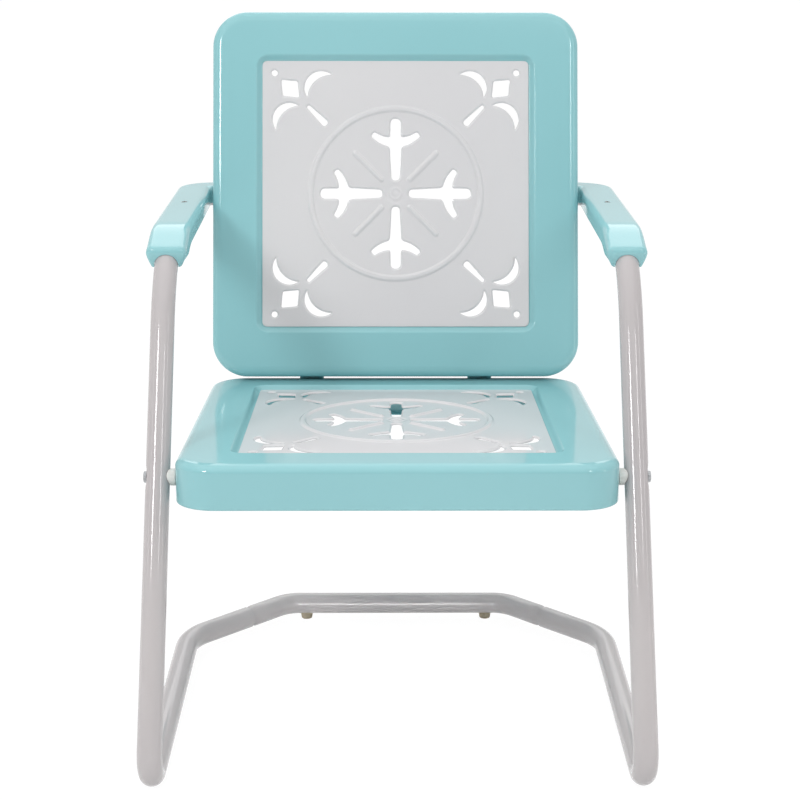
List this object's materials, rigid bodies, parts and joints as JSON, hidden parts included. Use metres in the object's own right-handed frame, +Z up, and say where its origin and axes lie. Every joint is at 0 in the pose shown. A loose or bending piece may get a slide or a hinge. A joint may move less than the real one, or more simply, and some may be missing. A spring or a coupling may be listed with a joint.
{
  "type": "lawn chair",
  "caption": "Retro metal spring lawn chair with square stamped seat and back pans, pierced tile panels, bent tube cantilever frame and capped arms.",
  "frame": {"origin": "middle of the bounding box's footprint, on the floor", "axes": "+Z up, +X to the right of a viewer in front of the chair, -Y the way the sitter faces"},
  "size_m": [0.6284, 0.7866, 0.8278],
  "materials": {
    "pan_enamel": "gloss turquoise enamel",
    "tile_enamel": "gloss white enamel",
    "frame_enamel": "gloss white enamel on steel tube",
    "zinc_steel": "zinc plated",
    "white_plastic": "moulded white plastic",
    "foot_rubber": "matt beige rubber"
  },
  "bodies": {
    "base": {"right_side_tube": "frame_enamel", "left_side_tube": "frame_enamel", "rear_cross_tube": "frame_enamel", "right_rear_foot": "foot_rubber", "left_rear_foot": "foot_rubber"},
    "seat_unit": {"seat_pan": "pan_enamel", "back_pan": "pan_enamel", "seat_tile": "tile_enamel", "back_tile": "tile_enamel", "left_arm_cover": "pan_enamel", "right_arm_cover": "pan_enamel", "left_arm_cover_screw": "zinc_steel", "right_arm_cover_screw": "zinc_steel", "left_arm_end_plug": "white_plastic", "right_arm_end_plug": "white_plastic", "left_seat_bolt": "zinc_steel", "right_seat_bolt": "zinc_steel", "left_seat_spacer": "white_plastic", "right_seat_spacer": "white_plastic", "left_seat_washer": "zinc_steel", "right_seat_washer": "zinc_steel", "left_seat_nut": "zinc_steel", "right_seat_nut": "zinc_steel", "left_back_bolt": "zinc_steel", "right_back_bolt": "zinc_steel", "left_back_spacer": "white_plastic", "right_back_spacer": "white_plastic", "left_back_nut": "zinc_steel", "right_back_nut": "zinc_steel", "left_arm_plate": "pan_enamel", "right_arm_plate": "pan_enamel", "left_upper_plate_rivet": "zinc_steel", "right_upper_plate_rivet": "zinc_steel", "left_lower_plate_rivet": "zinc_steel", "right_lower_plate_rivet": "zinc_steel", "left_tie_strip": "pan_enamel", "right_tie_strip": "pan_enamel", "left_tie_seat_bolt": "zinc_steel", "right_tie_seat_bolt": "zinc_steel", "left_tie_seat_nut": "zinc_steel", "right_tie_seat_nut": "zinc_steel", "left_tie_back_bolt": "zinc_steel", "right_tie_back_bolt": "zinc_steel", "left_tie_back_nut": "zinc_steel", "right_tie_back_nut": "zinc_steel"}
  },
  "joints": [
    {"name": "frame_flex", "type": "hinge", "parent": "base", "child": "seat_unit", "pos_m": [0, -0.3446, 0.016], "axis": [-1, 0, 0], "range_deg": [-2, 5], "stiffness_Nm_per_rad": 2900, "deforming": ["right_side_tube", "left_side_tube"]}
  ]
}
